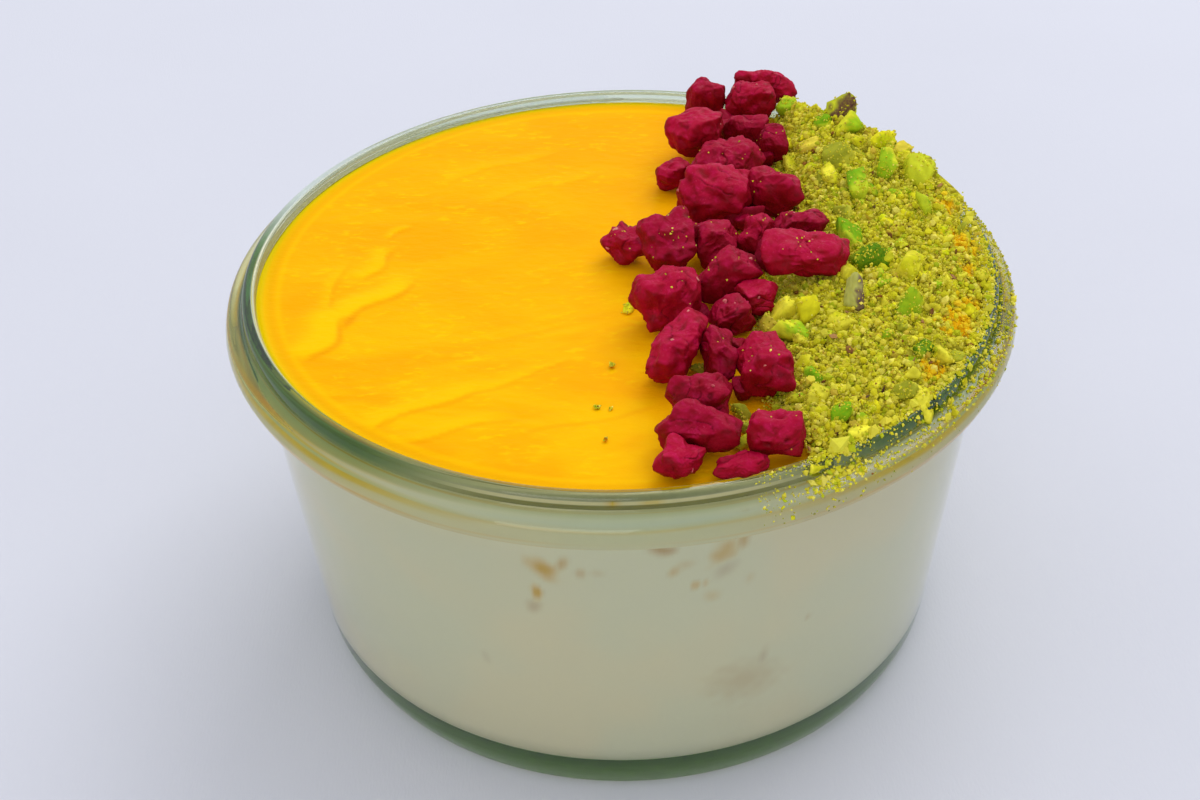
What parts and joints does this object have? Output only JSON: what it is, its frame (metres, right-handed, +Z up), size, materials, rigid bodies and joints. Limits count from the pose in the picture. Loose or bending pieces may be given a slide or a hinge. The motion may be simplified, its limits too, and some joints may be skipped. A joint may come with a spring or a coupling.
{
  "type": "tiramisu in a glass",
  "caption": "Low round glass jar filled with pale cream under a glossy mango layer, with a line of freeze-dried raspberry pieces beside a heap of chopped pistachio.",
  "frame": {"origin": "middle of the jar's foot, at the height of the surface it stands on", "axes": "+Z up along the jar's axis; +X towards the side where the pistachio lies; -Y is the front"},
  "size_m": [0.108, 0.108, 0.0623],
  "materials": {
    "glass": "clear pressed glass with a faint green tint",
    "cream": "soft whipped cream with a few golden sponge pieces",
    "mango": "satin fruit glaze with fine wrinkles",
    "raspberry": "dry porous freeze-dried fruit",
    "pistachio": "coarse chopped nut with fine crumbs"
  },
  "bodies": {
    "root": {"glass_jar": "glass", "cream_filling": "cream", "mango_layer": "mango", "pistachio_heap": "pistachio", "raspberry_01": "raspberry", "raspberry_02": "raspberry", "raspberry_03": "raspberry", "raspberry_04": "raspberry", "raspberry_05": "raspberry", "raspberry_06": "raspberry", "raspberry_07": "raspberry", "raspberry_08": "raspberry", "raspberry_09": "raspberry", "raspberry_10": "raspberry", "raspberry_11": "raspberry", "raspberry_12": "raspberry", "raspberry_13": "raspberry", "raspberry_14": "raspberry", "raspberry_15": "raspberry", "raspberry_16": "raspberry", "raspberry_17": "raspberry", "raspberry_18": "raspberry", "raspberry_19": "raspberry", "raspberry_20": "raspberry", "raspberry_21": "raspberry", "raspberry_22": "raspberry", "raspberry_23": "raspberry", "raspberry_24": "raspberry", "raspberry_25": "raspberry", "raspberry_26": "raspberry", "raspberry_27": "raspberry", "raspberry_28": "raspberry"}
  },
  "joints": []
}
